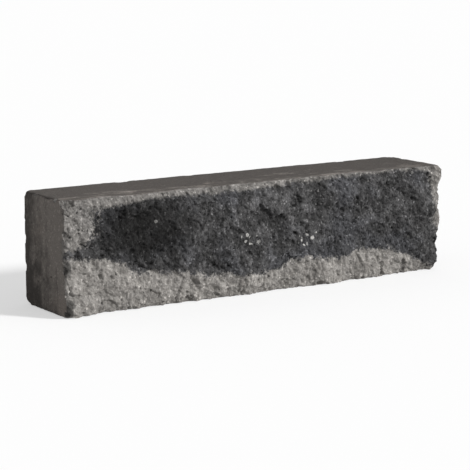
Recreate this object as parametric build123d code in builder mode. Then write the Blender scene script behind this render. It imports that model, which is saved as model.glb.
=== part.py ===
# Split-face wall block: one solid piece of pressed concrete for dry-laid garden walls.
# It is pressed upright in a mould as a plain blank, split along its length, and tumbled.
# So its bed, top, ends and back are flat moulded faces with worn edges, and its front is broken.
#
# Frame: X along the wall, Y into the wall with the split face towards -Y, Z up.
# The origin is on the bed face, midway along the block and midway through its depth.
# Sizes are in millimetres, angles in degrees.

import os
from math import cos, hypot, pi, radians, sin
from typing import NamedTuple

from build123d import *

# Overall size
length = 600.0  # along the wall
height = 150.0  # one course
depth = 120.0  # from the back face to the proudest point of the split face

# Edges between moulded faces
edge_round = 3.5  # radius that tumbling has worn them to

# Border of the split face
bed_setback = 3.0  # how far the splitting blades broke it back at the top and bottom
end_setback = 1.5  # how far it is broken back at the two ends
border_band = 24.0  # width of the band in which it falls back

# Fracture surface
point_spacing = 6.0  # between the points that it runs through
fitting_error = 0.05  # how far the surface may pass from a point
overrun = 20.0  # how far it runs past the blank on every side
wander = 0.14  # how far a crest strays from a straight line, as a share of its pitch


class Swell(NamedTuple):
    rise: float  # height of a crest above the mean face
    pitch: float  # from one crest to the next
    heading: float  # direction it runs in, up from the length of the block
    phase: float  # place of its first crest


# The broken face rolls in swells that cross each other, from the large ones to the small
swells = (
    Swell(rise=1.4, pitch=340.0, heading=14.0, phase=65.0),
    Swell(rise=1.1, pitch=196.0, heading=-37.0, phase=210.0),
    Swell(rise=0.9, pitch=121.0, heading=68.0, phase=300.0),
    Swell(rise=1.1, pitch=87.0, heading=27.0, phase=95.0),
    Swell(rise=1.0, pitch=63.0, heading=-58.0, phase=255.0),
    Swell(rise=0.9, pitch=47.0, heading=41.0, phase=150.0),
    Swell(rise=0.7, pitch=37.0, heading=-22.0, phase=20.0),
)


def swell_rise(swell, x, z):
    """Height of one swell at a place on the face."""
    heading = radians(swell.heading)
    along = x * cos(heading) + z * sin(heading)
    across = z * cos(heading) - x * sin(heading)
    turns = along / swell.pitch + wander * sin(pi * across / swell.pitch)
    return swell.rise * sin(2 * pi * turns + radians(swell.phase))


def border_fall(setback, inset):
    """How far the face has fallen back, at a distance inset from an edge."""
    return setback * max(0.0, 1 - inset / border_band) ** 2


def face_rise(x, z):
    """Height of the broken face above its mean plane, towards the front."""
    bed_fall = border_fall(bed_setback, height / 2 - abs(z - height / 2))
    end_fall = border_fall(end_setback, length / 2 - abs(x))
    return sum(swell_rise(swell, x, z) for swell in swells) - hypot(bed_fall, end_fall)


def spread(start, end):
    """Evenly spaced places from start to end, about point_spacing apart."""
    count = round((end - start) / point_spacing)
    return [start + (end - start) * step / count for step in range(count + 1)]


def fracture():
    """The surface that the block split along, with its proudest point at the block's full depth."""
    columns = spread(-length / 2 - overrun, length / 2 + overrun)
    rows = spread(-overrun, height + overrun)
    rises = [[face_rise(x, z) for x in columns] for z in rows]
    proudest = max(map(max, rises))
    points = [
        [(x, proudest - rise - depth / 2, z) for x, rise in zip(columns, line)]
        for z, line in zip(rows, rises)
    ]
    return Face.make_surface_from_array_of_points(points, tol=fitting_error, min_deg=3)


with BuildPart() as wall_block:
    # The pressed blank reaches forward past the place where it will split
    blank_front = -depth / 2 - overrun
    with BuildSketch(Plane.XY):
        with Locations((0, depth / 2)):
            Rectangle(length, depth / 2 - blank_front, align=(Align.CENTER, Align.MAX))
    extrude(amount=height)

    # Its edges are worn, apart from those of the half that splits away
    front_edges = wall_block.faces().sort_by(Axis.Y)[0].edges()
    fillet([edge for edge in wall_block.edges() if edge not in front_edges], radius=edge_round)

    # Splitting leaves the broken face at the front
    split(bisect_by=fracture(), keep=Keep.TOP)

wall_block.part.label = "wall_block"

os.makedirs("parts", exist_ok=True)
export_step(wall_block.part, "parts/wall_block.step")
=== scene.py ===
# Split-face wall block in two-tone concrete: a broken front, and worn mould-smooth faces all round
from math import cos, radians, sin
from random import Random

import bmesh
import bpy
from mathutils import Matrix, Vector, noise
from mathutils.bvhtree import BVHTree
from mathutils.kdtree import KDTree


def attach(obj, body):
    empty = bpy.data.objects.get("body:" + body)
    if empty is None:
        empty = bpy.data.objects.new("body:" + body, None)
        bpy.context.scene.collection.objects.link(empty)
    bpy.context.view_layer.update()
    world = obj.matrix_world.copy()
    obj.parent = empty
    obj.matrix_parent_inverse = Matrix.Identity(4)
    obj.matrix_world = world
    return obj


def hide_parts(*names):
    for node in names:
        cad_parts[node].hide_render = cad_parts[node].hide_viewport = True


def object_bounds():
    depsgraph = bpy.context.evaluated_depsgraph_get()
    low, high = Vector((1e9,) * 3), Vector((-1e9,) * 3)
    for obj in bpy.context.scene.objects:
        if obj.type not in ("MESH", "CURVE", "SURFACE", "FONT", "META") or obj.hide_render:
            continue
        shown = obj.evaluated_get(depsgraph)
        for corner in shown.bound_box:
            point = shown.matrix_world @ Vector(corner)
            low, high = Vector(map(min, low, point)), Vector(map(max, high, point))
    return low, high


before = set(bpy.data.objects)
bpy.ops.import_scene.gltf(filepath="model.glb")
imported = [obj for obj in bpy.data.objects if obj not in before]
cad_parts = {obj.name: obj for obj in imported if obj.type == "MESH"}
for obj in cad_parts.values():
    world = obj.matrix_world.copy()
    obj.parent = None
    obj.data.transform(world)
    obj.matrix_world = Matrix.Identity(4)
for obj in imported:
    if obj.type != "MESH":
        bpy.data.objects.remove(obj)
cadLow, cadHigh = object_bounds()
cadSize = cadHigh - cadLow
print("frame loaded, block is", [round(side * 1000) for side in cadSize], "mm")

hair = 0.0001  # a length too small to matter
outward = {
    "front": Vector((0, -1, 0)),
    "back": Vector((0, 1, 0)),
    "left": Vector((-1, 0, 0)),
    "right": Vector((1, 0, 0)),
    "top": Vector((0, 0, 1)),
    "bed": Vector((0, 0, -1)),
}


# The blank: a box cut into squares, finest where the block is broken

blank = {
    "square": 0.0052,  # first squares, on every face
    "lip": 0.017,  # strip behind the front that is cut as finely as the front
    "islands": {  # place of each face in the bake map: left, bottom, width, height
        "front": (0.005, 0.735, 0.990, 0.260),
        "top": (0.005, 0.525, 0.990, 0.200),
        "back": (0.005, 0.315, 0.990, 0.200),
        "bed": (0.005, 0.215, 0.990, 0.090),
        "left": (0.005, 0.005, 0.300, 0.200),
        "right": (0.315, 0.005, 0.300, 0.200),
    },
}


def facesOn(bm, *sides):
    bm.normal_update()
    return [face for face in bm.faces if any(face.normal.dot(outward[side]) > 0.9 for side in sides)]


def halveSquares(bm, faces):
    edges = list(dict.fromkeys(edge for face in faces for edge in face.edges))  # each once, in order
    bmesh.ops.subdivide_edges(bm, edges=edges, cuts=1, use_grid_fill=True)


def cutBlank(bm):
    bmesh.ops.create_cube(bm, size=1.0)
    bmesh.ops.scale(bm, vec=cadSize, verts=bm.verts)
    bmesh.ops.translate(bm, vec=(cadLow + cadHigh) / 2, verts=bm.verts)
    for axis in range(3):
        along = [edge for edge in bm.edges if abs((edge.verts[0].co - edge.verts[1].co)[axis]) > hair]
        cuts = round(cadSize[axis] / blank["square"]) - 1
        bmesh.ops.subdivide_edges(bm, edges=along, cuts=cuts, use_grid_fill=True)
    halveSquares(bm, facesOn(bm, "front", "top", "left", "right"))
    lipEnd = cadLow.y + blank["lip"]
    lip = [face for face in facesOn(bm, "top", "left", "right") if face.calc_center_median().y < lipEnd]
    halveSquares(bm, facesOn(bm, "front") + lip)


def mapIslands(bm):
    bakeMap = bm.loops.layers.uv.new("OFBake")
    acrossUp = {
        "front": (0, 2), "back": (0, 2),
        "top": (0, 1), "bed": (0, 1),
        "left": (1, 2), "right": (1, 2),
    }
    for side, (left, bottom, width, height) in blank["islands"].items():
        across, up = acrossUp[side]
        for face in facesOn(bm, side):
            for loop in face.loops:
                u = (loop.vert.co[across] - cadLow[across]) / cadSize[across]
                v = (loop.vert.co[up] - cadLow[up]) / cadSize[up]
                loop[bakeMap].uv = (left + width * u, bottom + height * v)


bm = bmesh.new()
cutBlank(bm)
mapIslands(bm)
bm.verts.index_update()
isFront = [vert.co.y < cadLow.y + hair for vert in bm.verts]
print("blank cut,", len(bm.faces), "faces")


# Fitting the blank to the CAD solid

fitting = {
    "weld": 0.000001,  # joins the corners of the solid's triangles
    "standOff": 0.05,  # where the rays start, in front of the block
    "insets": (0.0002, 0.002, 0.006),  # a ray along a worn corner misses, so it moves in
}


def solidTree(node):
    shell = bmesh.new()
    shell.from_mesh(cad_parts[node].data)
    bmesh.ops.remove_doubles(shell, verts=shell.verts, dist=fitting["weld"])
    tree = BVHTree.FromBMesh(shell)
    shell.free()
    return tree


def frontDepth(tree, x, z):
    for inset in fitting["insets"]:
        insideX = max(cadLow.x + inset, min(x, cadHigh.x - inset))
        insideZ = max(cadLow.z + inset, min(z, cadHigh.z - inset))
        start = Vector((insideX, cadLow.y - fitting["standOff"], insideZ))
        hit = tree.ray_cast(start, outward["back"])[0]
        if hit:
            return hit.y
    return cadLow.y


def fitToSolid(bm, tree):
    behind = []  # how far each point lies behind the broken face
    for vert in bm.verts:
        frontY = frontDepth(tree, vert.co.x, vert.co.z)
        share = (cadHigh.y - vert.co.y) / cadSize.y
        vert.co.y = cadHigh.y + (frontY - cadHigh.y) * share
        behind.append((1 - share) * (cadHigh.y - frontY))
        vert.co = tree.find_nearest(vert.co)[0]
    return behind


behindFront = fitToSolid(bm, solidTree("wall_block"))
print("fitted to the solid")


# Relief of the broken face

brokenRelief = {
    "seed": 5,  # for noise_vector, which follows the clock when no seed is set
    "slope": 24.0,  # degrees that its lumps run down to the right
    "draw": 1.2,  # how much longer than wide they are
    # width, height
    "lumps": ((0.042, 0.0008), (0.021, 0.0015), (0.0105, 0.0014), (0.0054, 0.0010), (0.0028, 0.0007)),
    "clods": ((0.0066, 0.0009),),  # with a sharp furrow round each
    "clodLevel": 0.45,  # puts the middle of the clods at nought
    # width, step, tilt
    "flakes": ((0.026, 0.0010, 0.10), (0.0115, 0.0006, 0.15)),
    "flakeBend": (0.35, 1.7),  # how far their outlines bend, and how finely, in flake widths
    # width, how far they stand proud, share that do
    "stones": ((0.0086, 0.0016, 0.26), (0.0044, 0.0010, 0.40)),
    "stoneBend": (0.3, 1.3),
    "stoneReach": 0.50,  # radius of a stone, in stone widths
    "sockets": 0.10,  # share of the stones that have dropped out
    "scatter": {"flakes": 37.0, "stones": 53.0},  # gives each flake and stone a draw of its own
    "sink": 0.0010,  # puts the middle of the relief back inside the solid
    "fade": 0.026,  # how far behind the front its raggedness carries
    "fullStand": 0.002,  # rise that counts as standing fully proud
}


def flakeRise(place, width, step, tilt):
    bend, fineness = brokenRelief["flakeBend"]
    spot = place / width
    spot += bend * noise.noise_vector(spot * fineness)
    seed = noise.voronoi(spot)[1][0]
    toss = noise.cell_vector(seed * brokenRelief["scatter"]["flakes"]) - Vector((0.5, 0.5, 0.5))
    lean = spot - seed
    return 2 * (step * toss.x + width * tilt * (toss.y * lean.x + toss.z * lean.y))


def stoneRise(place, width, proud, share):
    bend, fineness = brokenRelief["stoneBend"]
    spot = place / width
    spot += bend * noise.noise_vector(spot * fineness)
    distances, seeds = noise.voronoi(spot)
    chance = noise.cell_vector(seeds[0] * brokenRelief["scatter"]["stones"])
    dome = max(0.0, 1 - (distances[0] / brokenRelief["stoneReach"]) ** 2)
    if chance.x < share:  # some lie lower, and each has its own tone
        return proud * (0.3 + 0.7 * chance.y) * dome ** 0.5, (chance.z * 2 - 1) * min(1.0, 3 * dome)
    if chance.x > 1 - brokenRelief["sockets"]:  # a socket where a stone dropped out, painted darker partly as painted shade and partly as dust
        return -proud * (0.5 + chance.y) * dome, -0.7 * dome
    return 0.0, 0.0


def reliefAt(x, z):
    turn = radians(brokenRelief["slope"])
    along = x * cos(turn) - z * sin(turn)
    across = x * sin(turn) + z * cos(turn)
    # each layer is read from a part of the noise of its own
    drawn = Vector((along / brokenRelief["draw"], across, 0.37))
    rise = -brokenRelief["sink"]
    for width, height in brokenRelief["lumps"]:
        rise += height * noise.noise(drawn / width + Vector((0, width * 900, 3.1)))
    for width, height in brokenRelief["clods"]:
        furrow = abs(noise.noise(drawn / width + Vector((width * 500, 0, 5.7))))
        rise += height * (2 * furrow - brokenRelief["clodLevel"])
    for width, step, tilt in brokenRelief["flakes"]:
        rise += flakeRise(drawn, width, step, tilt)
    tone = 0.0
    for width, proud, share in brokenRelief["stones"]:
        stone, stoneToneAndSocketShade = stoneRise(Vector((x, z, 0.11)), width, proud, share)
        rise += stone
        tone = stoneToneAndSocketShade or tone
    return rise, tone


def breakFront(bm):
    stoneToneAndSocketShade = [0.0] * len(bm.verts)
    broken = [0.0] * len(bm.verts)
    standing = [0.0] * len(bm.verts)
    for vert in bm.verts:
        reach = 1 - behindFront[vert.index] / brokenRelief["fade"]
        if reach <= 0:
            continue
        rise, tone = reliefAt(vert.co.x, vert.co.z)
        vert.co.y -= rise * reach ** 2
        if isFront[vert.index]:
            stoneToneAndSocketShade[vert.index] = tone
            # how far it stands proud; the shader paints low places darker, partly as painted shade and
            # partly as dust, and raised places paler as if scuffed
            standing[vert.index] = max(-1.0, min(rise / brokenRelief["fullStand"], 1.0))
            broken[vert.index] = 1.0
    return broken, stoneToneAndSocketShade, standing


noise.seed_set(brokenRelief["seed"])
broken, stoneToneAndSocketShade, standing = breakFront(bm)
print("front broken")


# Wear: moulded faces a little uneven, arrises crumbled, and chips knocked out of all the edges

wear = {
    "seed": 31,
    "uneven": ((0.060, 0.0004), (0.016, 0.0002), (0.005, 0.00012)),  # width, height on the moulded faces
    "crumbleBand": 0.008,  # how far from an arris of the broken face it crumbles
    "crumble": 0.0022,  # how deep
    "crumbleFall": 1.5,  # how fast that lessens away from the arris
    "crumbleBase": 0.35,  # more makes it crumble all along
    "crumbleGrit": ((0.009, 1.0), (0.004, 0.7)),  # width, weight
    "crumbleFresh": 0.0008,  # depth at which the concrete under the skin shows
    "rubBand": 0.006,  # how far from another edge it is rubbed
    "rub": 0.0009,  # how deep
    "rubBase": 0.5,
    "rubWidth": 0.012,
    "arris": (105, 0.0022, 0.012),  # chips to the metre, least and most radius
    "edge": (36, 0.0022, 0.011),
    "smallness": 4,  # more makes large chips rarer
    "stray": 0.5,  # how far a blow strays from square on
    "bite": (0.2, 0.42),  # least and most share of the radius that goes in
    "chipReach": 1.4,  # how far round a chip its points are looked for, in radii
    "chipGrit": ((0.007, 0.30), (0.003, 0.16)),  # width, share of the radius
    "chipFresh": 0.0007,
    "sharpest": 100.0,  # degrees that two neighbouring faces may turn
    "eases": 12,  # times that sharper folds are smoothed
    "ease": 0.5,  # how much each time
    # places in shares of length, depth and height, which way they were struck, and radius
    "knocks": (
        ((0, 0, 0.44), (-1, -1, 0), 0.011),
        ((0, 0, 0.47), (-1, -0.6, 0.1), 0.008),
        ((0, 0, 0), (-1, -1, -1), 0.011),
        ((0, 1, 0), (-1, 1, -1), 0.013),
        ((0, 1, 1), (-1, 1, 1), 0.010),
        ((1, 0, 0.62), (1, -1, 0), 0.010),
        ((1, 0, 0), (1, -1, -1), 0.013),
        ((1, 1, 1), (1, 1, 1), 0.015),
        ((0.31, 0, 0), (0, -1, -1), 0.013),
        ((0.73, 0, 1), (0, -1, 1), 0.012),
        ((0.58, 1, 0), (0, 1, -1), 0.016),
        ((0.24, 1, 1), (0, 1, 1), 0.014),
    ),
}


def layered(place, layers, base=0.0):
    return sum((weight * noise.noise(place / width) for width, weight in layers), base)


def edgeGap(place):
    gaps = sorted((
        min(place.x - cadLow.x, cadHigh.x - place.x),
        min(place.z - cadLow.z, cadHigh.z - place.z),
        cadHigh.y - place.y,
    ))
    return max(0.0, gaps[1])


def arrisGap(vert):
    if not isFront[vert.index]:
        return behindFront[vert.index]
    fromEnd = min(vert.co.x - cadLow.x, cadHigh.x - vert.co.x)
    fromBed = min(vert.co.z - cadLow.z, cadHigh.z - vert.co.z)
    return max(0.0, min(fromEnd, fromBed))


def rubEdges(bm):
    bm.normal_update()
    shifts = []
    for vert in bm.verts:
        place = vert.co
        near = max(0.0, 1 - arrisGap(vert) / wear["crumbleBand"])
        grit = layered(place, wear["crumbleGrit"], wear["crumbleBase"])
        shift = -wear["crumble"] * near ** wear["crumbleFall"] * max(0.0, grit)
        if not isFront[vert.index]:
            broken[vert.index] = max(broken[vert.index], min(1.0, -shift / wear["crumbleFresh"]))
            shift += layered(place, wear["uneven"])
            near = max(0.0, 1 - edgeGap(place) / wear["rubBand"])
            shift -= wear["rub"] * near * (wear["rubBase"] + noise.noise(place / wear["rubWidth"]))
        shifts.append(shift)
    for vert, shift in zip(bm.verts, shifts):
        vert.co += vert.normal * shift


def blockEdges():
    low, high = cadLow, cadHigh
    edges = []
    for z, up in ((low.z, -1), (high.z, 1)):
        edges.append(("arris", (low.x, low.y, z), (high.x, low.y, z), (0, -1, up)))
        edges.append(("edge", (low.x, high.y, z), (high.x, high.y, z), (0, 1, up)))
        for x, out in ((low.x, -1), (high.x, 1)):
            edges.append(("edge", (x, low.y, z), (x, high.y, z), (out, 0, up)))
    for x, out in ((low.x, -1), (high.x, 1)):
        edges.append(("arris", (x, low.y, low.z), (x, low.y, high.z), (out, -1, 0)))
        edges.append(("edge", (x, high.y, low.z), (x, high.y, high.z), (out, 1, 0)))
    return [(kind, Vector(start), Vector(end), Vector(away)) for kind, start, end, away in edges]


def chipSpots():
    dice = Random(wear["seed"])
    shallow, deep = wear["bite"]
    spots = []
    for kind, start, end, away in blockEdges():
        perMetre, least, most = wear[kind]
        for count in range(round(perMetre * (end - start).length)):
            spot = start.lerp(end, dice.random())
            radius = least + (most - least) * dice.random() ** wear["smallness"]
            stray = Vector([dice.uniform(-1, 1) for axis in range(3)])
            struck = away.normalized() + wear["stray"] * stray
            spots.append((spot, struck.normalized(), radius, dice.uniform(shallow, deep)))
    for share, struck, radius in wear["knocks"]:
        spot = cadLow + Vector([part * side for part, side in zip(share, cadSize)])
        spots.append((spot, Vector(struck).normalized(), radius, deep))
    return spots


def knockChips(bm, spots):
    tree = KDTree(len(bm.verts))
    for vert in bm.verts:
        tree.insert(vert.co, vert.index)
    tree.balance()
    bm.verts.ensure_lookup_table()
    for spot, struck, radius, bite in spots:
        centre = tree.find(spot)[0] + struck * radius * (1 - bite)
        for place, index, gap in tree.find_range(centre, radius * wear["chipReach"]):
            vert = bm.verts[index]
            arm = vert.co - centre
            ragged = radius * (1 + layered(vert.co, wear["chipGrit"]))
            if hair < arm.length < ragged:
                cut = ragged - arm.length
                vert.co += arm.normalized() * cut
                broken[index] = max(broken[index], min(1.0, cut / wear["chipFresh"]))


def isTwisted(face):
    start, *arms = [vert.co for vert in face.verts]
    arms = [arm - start for arm in arms]
    return arms[0].cross(arms[1]).dot(arms[1].cross(arms[-1])) < 0


def easeFolds(bm):
    allAxes = {"use_axis_x": True, "use_axis_y": True, "use_axis_z": True}
    for count in range(wear["eases"]):
        bm.normal_update()
        sharp = [edge for edge in bm.edges if edge.calc_face_angle(0.0) > radians(wear["sharpest"])]
        twisted = [face for face in bm.faces if isTwisted(face)]
        folded = list(dict.fromkeys(vert for part in sharp + twisted for vert in part.verts))
        bmesh.ops.smooth_vert(bm, verts=folded, factor=wear["ease"], **allAxes)


rubEdges(bm)
knockChips(bm, chipSpots())
easeFolds(bm)
print("edges worn and chipped")


def finishBlock(bm):
    mesh = bpy.data.meshes.new("split_face_block")
    bmesh.ops.recalc_face_normals(bm, faces=bm.faces)
    bm.to_mesh(mesh)
    mesh.shade_smooth()
    for name, values in (("broken", broken), ("stoneToneAndSocketShade", stoneToneAndSocketShade), ("standing", standing)):
        mesh.attributes.new(name, "FLOAT", "POINT").data.foreach_set("value", values)
    piece = bpy.data.objects.new("split_face_block", mesh)
    bpy.context.scene.collection.objects.link(piece)
    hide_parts("wall_block")
    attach(piece, "root")
    return piece


block = finishBlock(bm)
bm.free()
print("block finished,", sum(len(face.vertices) - 2 for face in block.data.polygons), "triangles")


# Shader helpers

def addNode(tree, kind, inputs=None, **settings):
    node = tree.nodes.new("ShaderNode" + kind)
    for name, value in settings.items():
        setattr(node, name, value)
    for name, value in (inputs or {}).items():
        if isinstance(value, bpy.types.NodeSocket):
            tree.links.new(value, node.inputs[name])
        else:
            node.inputs[name].default_value = value
    return node


def calc(tree, operation, *values):
    return addNode(tree, "Math", dict(enumerate(values)), operation=operation).outputs[0]


def calcPlace(tree, operation, *values):
    return addNode(tree, "VectorMath", dict(enumerate(values)), operation=operation)


def step(tree, value, low, high, start=0.0, end=1.0):
    spread = {"Value": value, "From Min": low, "From Max": high, "To Min": start, "To Max": end}
    return addNode(tree, "MapRange", spread, interpolation_type="SMOOTHSTEP").outputs[0]


def mix(tree, share, first, second, blend="MIX"):
    inputs = {0: share, 6: first, 7: second}
    return addNode(tree, "Mix", inputs, data_type="RGBA", blend_type=blend).outputs[2]


def cloud(tree, place, size, detail, rough, output="Fac"):
    inputs = {"Vector": place, "Scale": 1 / size, "Detail": detail, "Roughness": rough}
    return addNode(tree, "TexNoise", inputs).outputs[output]


def cells(tree, place, size):
    return addNode(tree, "TexVoronoi", {"Vector": place, "Scale": 1 / size}).outputs


def draws(tree, grains):  # three numbers from 0 to 1 for each cell
    return list(addNode(tree, "SeparateColor", {0: grains["Color"]}).outputs)


def disc(tree, grains, rim, flat):  # a spot in each cell, flat up to that share of its rim
    return step(tree, grains["Distance"], calc(tree, "MULTIPLY", rim, flat), rim, 1, 0)


def attribute(tree, name):
    return addNode(tree, "Attribute", attribute_name=name).outputs["Fac"]


def stretched(tree, place, scale):
    return addNode(tree, "Mapping", {"Vector": place, "Scale": scale}).outputs[0]


def curve(tree, value, points):
    node = addNode(tree, "FloatCurve", {"Value": value})
    line = node.mapping.curves[0]
    line.points[0].location = points[0]
    line.points[1].location = points[-1]
    for point in points[1:-1]:
        line.points.new(*point)
    node.mapping.update()
    return node.outputs[0]


def nearness(tree, place, middle, reach):
    offset = calcPlace(tree, "SUBTRACT", place, middle).outputs[0]
    scaled = calcPlace(tree, "DIVIDE", offset, reach).outputs[0]
    return calcPlace(tree, "LENGTH", scaled).outputs["Value"]


def shaken(tree, place, size, reach):
    colour = cloud(tree, place, size, 3, 0.65, "Color")
    offset = calcPlace(tree, "SUBTRACT", colour, (0.5, 0.5, 0.5)).outputs[0]
    return calcPlace(tree, "MULTIPLY_ADD", offset, (reach, reach, reach), place).outputs[0]


def alongUpBehind(tree, place):  # shares of the length, height and depth
    parts = addNode(tree, "SeparateXYZ", {0: place}).outputs
    along = calc(tree, "MULTIPLY_ADD", parts["X"], 1 / cadSize.x, 0.5)
    up = calc(tree, "MULTIPLY", parts["Z"], 1 / cadSize.z)
    behind = calc(tree, "MULTIPLY_ADD", parts["Y"], 1 / cadSize.y, 0.5)
    return along, up, behind


# Grain of the concrete, in the broken face and in the skin alike

grain = {
    "sandSize": 0.0013,
    "grainSize": 0.0026,
    "grainShake": (0.003, 0.002),  # size, reach
    "gravelSize": 0.0034,
    "gravelShake": (0.0035, 0.0026),
    "gravelPower": 4.0,  # more makes the light ones rarer
    "gravelGain": 2.4,
    "gravelBase": -0.47,  # tone of the darkest
    "gravelRim": (0.36, 0.52),
}


def gravelTone(tree, place):
    stones = cells(tree, shaken(tree, place, *grain["gravelShake"]), grain["gravelSize"])
    lightness = calc(tree, "POWER", draws(tree, stones)[0], grain["gravelPower"])
    toss = calc(tree, "MULTIPLY_ADD", lightness, grain["gravelGain"], grain["gravelBase"])
    return calc(tree, "MULTIPLY", toss, step(tree, stones["Distance"], *grain["gravelRim"], 1, 0))


def sandy(tree, sand, least, most):
    return step(tree, sand, 0.30, 0.70, least, most)


# Broken concrete: a pale and a dark mix that met in the mould

brokenMix = {
    "pale": (0.234, 0.221, 0.206, 1),
    "paleHigh": (0.352, 0.335, 0.315, 1),
    "dark": (0.056, 0.055, 0.055, 1),
    "darkHigh": (0.110, 0.108, 0.109, 1),
    "blue": (0.078, 0.079, 0.086, 1),
    "core": (0.018, 0.0175, 0.017, 1),
    "white": (0.50, 0.49, 0.47, 1),
    # clouds of a second colour: size, where it begins and where it is full
    "paleCloud": (0.013, 0.36, 0.66),
    "darkCloud": (0.019, 0.38, 0.66),
    "blueCloud": (0.075, 0.44, 0.64),
    "blueShare": 0.7,
    # limits of the pale mix on the front, in shares of its length and height
    "lowerLimit": (
        (0, 0.50), (0.06, 0.49), (0.15, 0.40), (0.185, 0.29), (0.215, 0.32), (0.27, 0.29), (0.36, 0.22),
        (0.53, 0.21), (0.62, 0.29), (0.70, 0.22), (0.78, 0.28), (0.92, 0.16), (0.97, 0.06), (1, 0),
    ),
    "leftPatch": (
        (0, 0), (0.53, 0), (0.58, 0.035), (0.64, 0.060), (0.72, 0.072), (0.86, 0.080), (1, 0.105),
    ),
    "rightPatch": ((0, 0), (0.38, 0), (0.48, 0.018), (0.62, 0.020), (0.84, 0.028), (1, 0.045)),
    # along the top arris the pale strip is partly the pale mix and partly painted highlight where the
    # arris catches the light
    "topStripAndHighlight": (
        (0, 0.06), (0.12, 0.08), (0.2, 0.045), (0.35, 0.055), (0.5, 0.05), (0.62, 0.035),
        (0.78, 0.018), (0.9, 0.02), (1, 0.05),
    ),
    # how those limits look: grit across them, where they start and end, and the share of pale inside
    "lowerEdge": (0.16, -0.02, 0.02, 1.0),
    "leftEdge": (0.12, -0.012, 0.008, 0.68),
    "rightEdge": (0.07, -0.010, 0.006, 0.85),
    "topEdge": (0.08, -0.02, 0.02, 0.74),
    "edgeGrit": 0.0045,  # size of the grains that cross them
    "waver": (0.024, 0.028),  # size and reach of their waves
    "topWaver": (0.014, 0.010),
    # tones
    "stoneToneAndSocketShade": 0.42,
    "reliefShadeAndScuff": 0.26,
    "gravelTone": 0.80,
    "sandTone": (0.76, 1.24),
    "paleCalm": 0.5,  # how much less of all that shows in the pale mix
    # darkest place, and painted shade in the knocked chips at the left arris: middle and reach
    "coreSpot": ((-0.185, -0.05, 0.103), (0.085, 1.0, 0.052)),
    "coreShake": (0.035, 0.05),
    "coreShare": 0.9,
    "knockShadeSpots": (
        ((-0.296, -0.05, 0.063), (0.007, 1.0, 0.011)),
        ((-0.297, -0.05, 0.012), (0.009, 1.0, 0.015)),
    ),
    "knockShake": (0.008, 0.012),
    "knockShadeShare": 0.75,
    # flecks: some are pits, painted dark partly as painted shade and partly as dust, a few are white
    "fleckSize": 0.0060,
    "fleckShake": (0.004, 0.004),
    "fleckRim": (0.22, 0.20),  # range and least, in cell widths
    "pitSpot": ((-0.284, -0.05, 0.120), (0.024, 1.0, 0.040)),
    "pitShare": (0.34, 0.05),  # in that cluster, and elsewhere
    "pitShadeAndDust": 0.75,
    "whiteFrom": 0.965,
    "whiteShine": (0.05, 0.40),
    "whiteStand": 0.5,
    # clusters of white stone chips: middle and reach
    "whiteSpots": (
        ((-0.023, -0.05, 0.079), (0.022, 1.0, 0.015)),
        ((0.074, -0.05, 0.068), (0.026, 1.0, 0.017)),
    ),
    "clusterSize": 0.0085,
    "clusterShake": (0.004, 0.0036),
    "clusterRim": (0.20, 0.26),
    "clusterShare": 0.75,
    "clusterShine": (0.45, 1.0),
}


def cloudMix(tree, place, first, second, size, begin, full):
    return mix(tree, step(tree, cloud(tree, place, size, 5, 0.65), begin, full), first, second)


def paleInside(tree, past, grit, edge):
    ragged, start, end, share = edge
    return step(tree, calc(tree, "MULTIPLY_ADD", grit, ragged, past), start, end, share, 0)


def paleShare(tree, place):
    grit = calc(tree, "SUBTRACT", cloud(tree, place, brokenMix["edgeGrit"], 3, 0.7), 0.5)
    along, up = alongUpBehind(tree, shaken(tree, place, *brokenMix["waver"]))[:2]
    past = calc(tree, "SUBTRACT", up, curve(tree, along, brokenMix["lowerLimit"]))
    share = paleInside(tree, past, grit, brokenMix["lowerEdge"])
    past = calc(tree, "SUBTRACT", along, curve(tree, up, brokenMix["leftPatch"]))
    share = calc(tree, "MAXIMUM", share, paleInside(tree, past, grit, brokenMix["leftEdge"]))
    fromRight = calc(tree, "SUBTRACT", 1.0, along)
    past = calc(tree, "SUBTRACT", fromRight, curve(tree, up, brokenMix["rightPatch"]))
    share = calc(tree, "MAXIMUM", share, paleInside(tree, past, grit, brokenMix["rightEdge"]))
    # the pale strip under the top arris, partly painted highlight
    along, up = alongUpBehind(tree, shaken(tree, place, *brokenMix["topWaver"]))[:2]
    fromTop = calc(tree, "SUBTRACT", 1.0, up)
    past = calc(tree, "SUBTRACT", fromTop, curve(tree, along, brokenMix["topStripAndHighlight"]))
    return calc(tree, "MAXIMUM", share, paleInside(tree, past, grit, brokenMix["topEdge"]))


def twoMixes(tree, place, share):
    pale = cloudMix(tree, place, brokenMix["pale"], brokenMix["paleHigh"], *brokenMix["paleCloud"])
    dark = cloudMix(tree, place, brokenMix["dark"], brokenMix["darkHigh"], *brokenMix["darkCloud"])
    size, begin, full = brokenMix["blueCloud"]
    blue = step(tree, cloud(tree, place, size, 3, 0.6), begin, full, 0, brokenMix["blueShare"])
    dark = mix(tree, blue, dark, brokenMix["blue"])
    coreGap = nearness(tree, shaken(tree, place, *brokenMix["coreShake"]), *brokenMix["coreSpot"])
    dark = mix(tree, step(tree, coreGap, 0.4, 1.2, brokenMix["coreShare"], 0), dark, brokenMix["core"])
    return mix(tree, share, dark, pale)


def brokenTone(tree, share, sand, gravel):
    # stones and sand each a little lighter or darker; empty sockets and other low places painted darker,
    # partly as painted shade and partly as dust, and what stands proud painted lighter as if scuffed
    tone = calc(tree, "MULTIPLY_ADD", attribute(tree, "stoneToneAndSocketShade"), brokenMix["stoneToneAndSocketShade"], 1.0)
    tone = calc(tree, "MULTIPLY_ADD", attribute(tree, "standing"), brokenMix["reliefShadeAndScuff"], tone)
    tone = calc(tree, "MULTIPLY_ADD", gravel, brokenMix["gravelTone"], tone)
    tone = calc(tree, "MULTIPLY", tone, sandy(tree, sand, *brokenMix["sandTone"]))
    return mix(tree, calc(tree, "MULTIPLY", share, brokenMix["paleCalm"]), tone, (1, 1, 1, 1))


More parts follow.
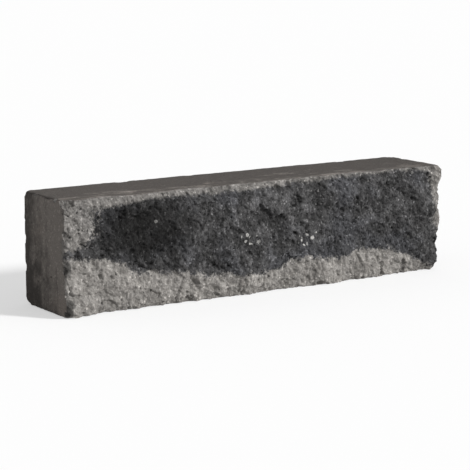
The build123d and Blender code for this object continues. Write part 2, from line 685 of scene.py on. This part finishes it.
def whiteClusters(tree, place):
    stones = cells(tree, shaken(tree, place, *brokenMix["clusterShake"]), brokenMix["clusterSize"])
    chance, girth, shine = draws(tree, stones)
    inside = disc(tree, stones, calc(tree, "MULTIPLY_ADD", girth, *brokenMix["clusterRim"]), 0.7)
    likely = 0.0
    for spot in brokenMix["whiteSpots"]:
        near = step(tree, nearness(tree, place, *spot), 0.4, 1.1, brokenMix["clusterShare"], 0)
        likely = calc(tree, "MAXIMUM", likely, near)
    white = calc(tree, "MULTIPLY", inside, calc(tree, "LESS_THAN", chance, likely))
    return calc(tree, "MULTIPLY", white, step(tree, shine, 0, 1, *brokenMix["clusterShine"]))


def pitsAndWhites(tree, place):
    flecks = cells(tree, shaken(tree, place, *brokenMix["fleckShake"]), brokenMix["fleckSize"])
    chance, girth, shine = draws(tree, flecks)
    inside = disc(tree, flecks, calc(tree, "MULTIPLY_ADD", girth, *brokenMix["fleckRim"]), 0.7)
    pitted = step(tree, nearness(tree, place, *brokenMix["pitSpot"]), 0.5, 1.1, *brokenMix["pitShare"])
    pit = calc(tree, "MULTIPLY", inside, calc(tree, "LESS_THAN", chance, pitted))
    white = calc(tree, "MULTIPLY", inside, calc(tree, "GREATER_THAN", chance, brokenMix["whiteFrom"]))
    white = calc(tree, "MULTIPLY", white, step(tree, shine, 0, 1, *brokenMix["whiteShine"]))
    return pit, calc(tree, "MAXIMUM", white, whiteClusters(tree, place))


def brokenColour(tree, place, sand, gravel):
    share = paleShare(tree, place)
    colour = twoMixes(tree, place, share)
    colour = mix(tree, 1.0, colour, brokenTone(tree, share, sand, gravel), "MULTIPLY")
    # painted shade in the chips knocked out at the left arris
    ragged = shaken(tree, place, *brokenMix["knockShake"])
    for spot in brokenMix["knockShadeSpots"]:
        chipShade = step(tree, nearness(tree, ragged, *spot), 0.5, 1.2, brokenMix["knockShadeShare"], 0)
        colour = mix(tree, chipShade, colour, brokenMix["core"])
    pit, white = pitsAndWhites(tree, place)
    # pits painted darker, partly painted shade in the holes and partly dust
    colour = mix(tree, calc(tree, "MULTIPLY", pit, brokenMix["pitShadeAndDust"]), colour, brokenMix["core"])
    chips = calc(tree, "SUBTRACT", calc(tree, "MULTIPLY", white, brokenMix["whiteStand"]), pit)
    return mix(tree, white, colour, brokenMix["white"]), chips


# Skin that the mould left on the other faces

mouldSkin = {
    "palest": (0.215, 0.195, 0.178, 1),
    "warm": (0.222, 0.192, 0.170, 1),
    "darkest": (0.070, 0.063, 0.058, 1),
    "toneRange": (0.44, 0.92),  # tones at which it is darkest and palest
    "waver": (0.03, 0.016),  # size and reach of the waves in the drag lines
    "upright": (1, 1, 0.15),  # how far those on the upright faces are drawn out
    "lengthwise": (0.13, 1, 1),
    "streakWidth": 0.006,
    "streakTone": 0.34,
    "uprightBand": (0.020, 0.66),  # width, tone
    "lengthwiseBand": (0.017, 1.10),
    # darker to the back, darker on top than on the ends, and on the ends darker toward the bed as painted
    # shade of the light falling off downward
    "endAhead": 0.66,
    "endShadeTowardBed": 0.24,
    "endBase": -0.60,
    "topAhead": 0.56,
    "topBase": -1.02,
    "backAhead": (0.6, 0.6, 0.6, 1),  # the back is toned as if it were this share forward
    "blotchSize": 0.030,
    "blotchTone": (0.24, 0.56),
    "warmSize": 0.09,
    "gravelTone": 0.24,
    "sandTone": (0.82, 1.18),
    "poreSize": 0.0052,
    "poreShake": (0.004, 0.003),
    "poreRim": (0.26, 0.10),  # range and least, in cell widths
    "poreShare": (0.03, 0.30),  # where the skin is closed, and where it is open
    # pores painted darker: painted shade in the holes
    "poreShadeTone": -0.6,
}


def skinPores(tree, place):
    holes = cells(tree, shaken(tree, place, *mouldSkin["poreShake"]), mouldSkin["poreSize"])
    chance, girth = draws(tree, holes)[:2]
    likely = step(tree, cloud(tree, place, 0.04, 4, 0.65), 0.40, 0.68, *mouldSkin["poreShare"])
    rim = calc(tree, "MULTIPLY_ADD", calc(tree, "POWER", girth, 2.0), *mouldSkin["poreRim"])
    return calc(tree, "MULTIPLY", disc(tree, holes, rim, 0.6), calc(tree, "LESS_THAN", chance, likely))


def dragLines(tree, place, level):
    wavy = shaken(tree, place, *mouldSkin["waver"])
    streaks, bands = [], []
    for way in ("upright", "lengthwise"):
        drawn = stretched(tree, wavy, mouldSkin[way])
        width, tone = mouldSkin[way + "Band"]
        streaks.append(cloud(tree, drawn, mouldSkin["streakWidth"], 4, 0.7))
        bands.append(calc(tree, "MULTIPLY", cloud(tree, drawn, width, 3, 0.6), tone))
    return mix(tree, level, *streaks), mix(tree, level, *bands)


def faceTone(tree, place, level, backward):
    along, up, behind = alongUpBehind(tree, place)
    ahead = mix(tree, backward, calc(tree, "SUBTRACT", 1.0, behind), mouldSkin["backAhead"])
    # ends painted darker toward the bed: painted shade
    endTone = calc(tree, "MULTIPLY_ADD", up, mouldSkin["endShadeTowardBed"], mouldSkin["endBase"])
    endTone = calc(tree, "MULTIPLY_ADD", ahead, mouldSkin["endAhead"], endTone)
    topTone = calc(tree, "MULTIPLY_ADD", ahead, mouldSkin["topAhead"], mouldSkin["topBase"])
    return mix(tree, level, endTone, topTone)


def skinColour(tree, place, sand, gravel, pores):
    facing = addNode(tree, "SeparateXYZ", {0: addNode(tree, "NewGeometry").outputs["True Normal"]}).outputs
    level = step(tree, calc(tree, "ABSOLUTE", facing["Z"]), 0.5, 0.8)
    backward = step(tree, facing["Y"], 0.5, 0.8)
    streaks, bands = dragLines(tree, place, level)
    tone = faceTone(tree, place, level, backward)
    tone = calc(tree, "MULTIPLY_ADD", streaks, mouldSkin["streakTone"], tone)
    tone = calc(tree, "ADD", bands, tone)
    blotches = cloud(tree, place, mouldSkin["blotchSize"], 6, 0.7)
    tone = calc(tree, "ADD", step(tree, blotches, 0.28, 0.72, *mouldSkin["blotchTone"]), tone)
    warm = step(tree, cloud(tree, place, mouldSkin["warmSize"], 4, 0.6), 0.45, 0.68)
    pale = mix(tree, warm, mouldSkin["palest"], mouldSkin["warm"])
    colour = mix(tree, step(tree, tone, *mouldSkin["toneRange"]), mouldSkin["darkest"], pale)
    sanded = sandy(tree, sand, *mouldSkin["sandTone"])
    grainy = calc(tree, "MULTIPLY_ADD", gravel, mouldSkin["gravelTone"], sanded)
    # painted shade in the pores
    shadeInPores = calc(tree, "MULTIPLY_ADD", pores, mouldSkin["poreShadeTone"], 1.0)
    return mix(tree, 1.0, colour, calc(tree, "MULTIPLY", grainy, shadeInPores), "MULTIPLY"), streaks


# The whole material

finish = {
    "roughness": (0.84, 0.97),
    "specular": 0.08,
    "diffuseRoughness": 0.7,
    "bumpDistance": 0.0010,
    "bumpStrength": 1.0,
    # heights in the skin and in the broken face, in shares of the bump distance
    "drag": 0.35,
    "skinSand": 0.5,
    "pores": -0.9,
    "grains": -0.7,
}


def concreteMaterial():
    material = bpy.data.materials.new("two_tone_concrete")
    material.use_nodes = True
    tree = material.node_tree
    tree.nodes.clear()
    place = addNode(tree, "TexCoord").outputs["Object"]
    sand = cloud(tree, place, grain["sandSize"], 3, 0.8)
    gravel = gravelTone(tree, place)
    pores = skinPores(tree, place)
    grains = cells(tree, shaken(tree, place, *grain["grainShake"]), grain["grainSize"])["Distance"]
    brokenShare = attribute(tree, "broken")
    skin, streaks = skinColour(tree, place, sand, gravel, pores)
    rough, chips = brokenColour(tree, place, sand, gravel)

    # drag lines, sand and pores in the skin, sand, grains, chips and pits in the broken face
    smooth = calc(tree, "MULTIPLY", sand, finish["skinSand"])
    smooth = calc(tree, "MULTIPLY_ADD", streaks, finish["drag"], smooth)
    smooth = calc(tree, "MULTIPLY_ADD", pores, finish["pores"], smooth)
    coarse = calc(tree, "MULTIPLY_ADD", grains, finish["grains"], sand)
    coarse = calc(tree, "ADD", chips, coarse)
    bump = addNode(tree, "Bump", {
        "Height": mix(tree, brokenShare, smooth, coarse),
        "Distance": finish["bumpDistance"],
        "Strength": finish["bumpStrength"],
    })
    shader = addNode(tree, "BsdfPrincipled", {
        "Base Color": mix(tree, brokenShare, skin, rough),
        "Roughness": sandy(tree, sand, *finish["roughness"]),
        "Specular IOR Level": finish["specular"],
        "Diffuse Roughness": finish["diffuseRoughness"],
        "Normal": bump.outputs[0],
    })
    addNode(tree, "OutputMaterial", {"Surface": shader.outputs[0]})
    return material


block.data.materials.append(concreteMaterial())
print("concrete mixed")


# Studio: white floor and surround, one soft sun from the front right, open sky light

studio = {
    "floorColour": (0.45, 0.45, 0.45, 1),
    "floorLift": 0.50,  # what the camera sees on top of the light that falls on the floor
    "floorSize": 60.0,
    "sky": 0.44,
    "sunFrom": (0.54, -0.64, 0.43),
    "sunStrength": 4.4,
    "sunAngle": 9.0,
    "camera": (-1.367, -2.093, 0.521),
    "aim": (-0.012, 0.0, 0.072),
    "lens": 143.0,
}


def seenDirectly(tree):
    ray = addNode(tree, "LightPath").outputs
    seen = calc(tree, "MAXIMUM", ray["Is Camera Ray"], ray["Is Glossy Ray"])
    return calc(tree, "MAXIMUM", seen, ray["Is Transmission Ray"])


def makeFloor():
    bm = bmesh.new()
    bmesh.ops.create_grid(bm, x_segments=1, y_segments=1, size=studio["floorSize"] / 2)
    mesh = bpy.data.meshes.new("floor")
    bm.to_mesh(mesh)
    bm.free()
    floor = bpy.data.objects.new("floor", mesh)
    bpy.context.scene.collection.objects.link(floor)
    material = bpy.data.materials.new("white_floor")
    material.use_nodes = True
    tree = material.node_tree
    tree.nodes.clear()
    lift = calc(tree, "MULTIPLY", seenDirectly(tree), studio["floorLift"])
    lit = addNode(tree, "BsdfDiffuse", {"Color": studio["floorColour"]})
    glow = addNode(tree, "Emission", {"Color": (1, 1, 1, 1), "Strength": lift})
    both = addNode(tree, "AddShader", {0: lit.outputs[0], 1: glow.outputs[0]})
    addNode(tree, "OutputMaterial", {"Surface": both.outputs[0]})
    mesh.materials.append(material)


def makeSky():
    world = bpy.data.worlds.new("white_surround")
    world.use_nodes = True
    tree = world.node_tree
    tree.nodes.clear()
    strength = calc(tree, "MULTIPLY_ADD", seenDirectly(tree), 1 - studio["sky"], studio["sky"])
    background = addNode(tree, "Background", {"Color": (1, 1, 1, 1), "Strength": strength})
    addNode(tree, "OutputWorld", {"Surface": background.outputs[0]})
    bpy.context.scene.world = world


def makeSun():
    lamp = bpy.data.lights.new("soft_sun", "SUN")
    lamp.energy = studio["sunStrength"]
    lamp.angle = radians(studio["sunAngle"])
    sun = bpy.data.objects.new("soft_sun", lamp)
    sun.rotation_euler = Vector(studio["sunFrom"]).to_track_quat("Z", "Y").to_euler()
    bpy.context.scene.collection.objects.link(sun)


def makeCamera():
    lens = bpy.data.cameras.new("camera")
    lens.lens = studio["lens"]
    camera = bpy.data.objects.new("camera", lens)
    camera.location = studio["camera"]
    sight = Vector(studio["aim"]) - camera.location
    camera.rotation_euler = sight.to_track_quat("-Z", "Y").to_euler()
    bpy.context.scene.collection.objects.link(camera)
    bpy.context.scene.camera = camera


makeFloor()
makeSky()
makeSun()
makeCamera()
bpy.context.scene.view_settings.view_transform = "Standard"
print("studio set")
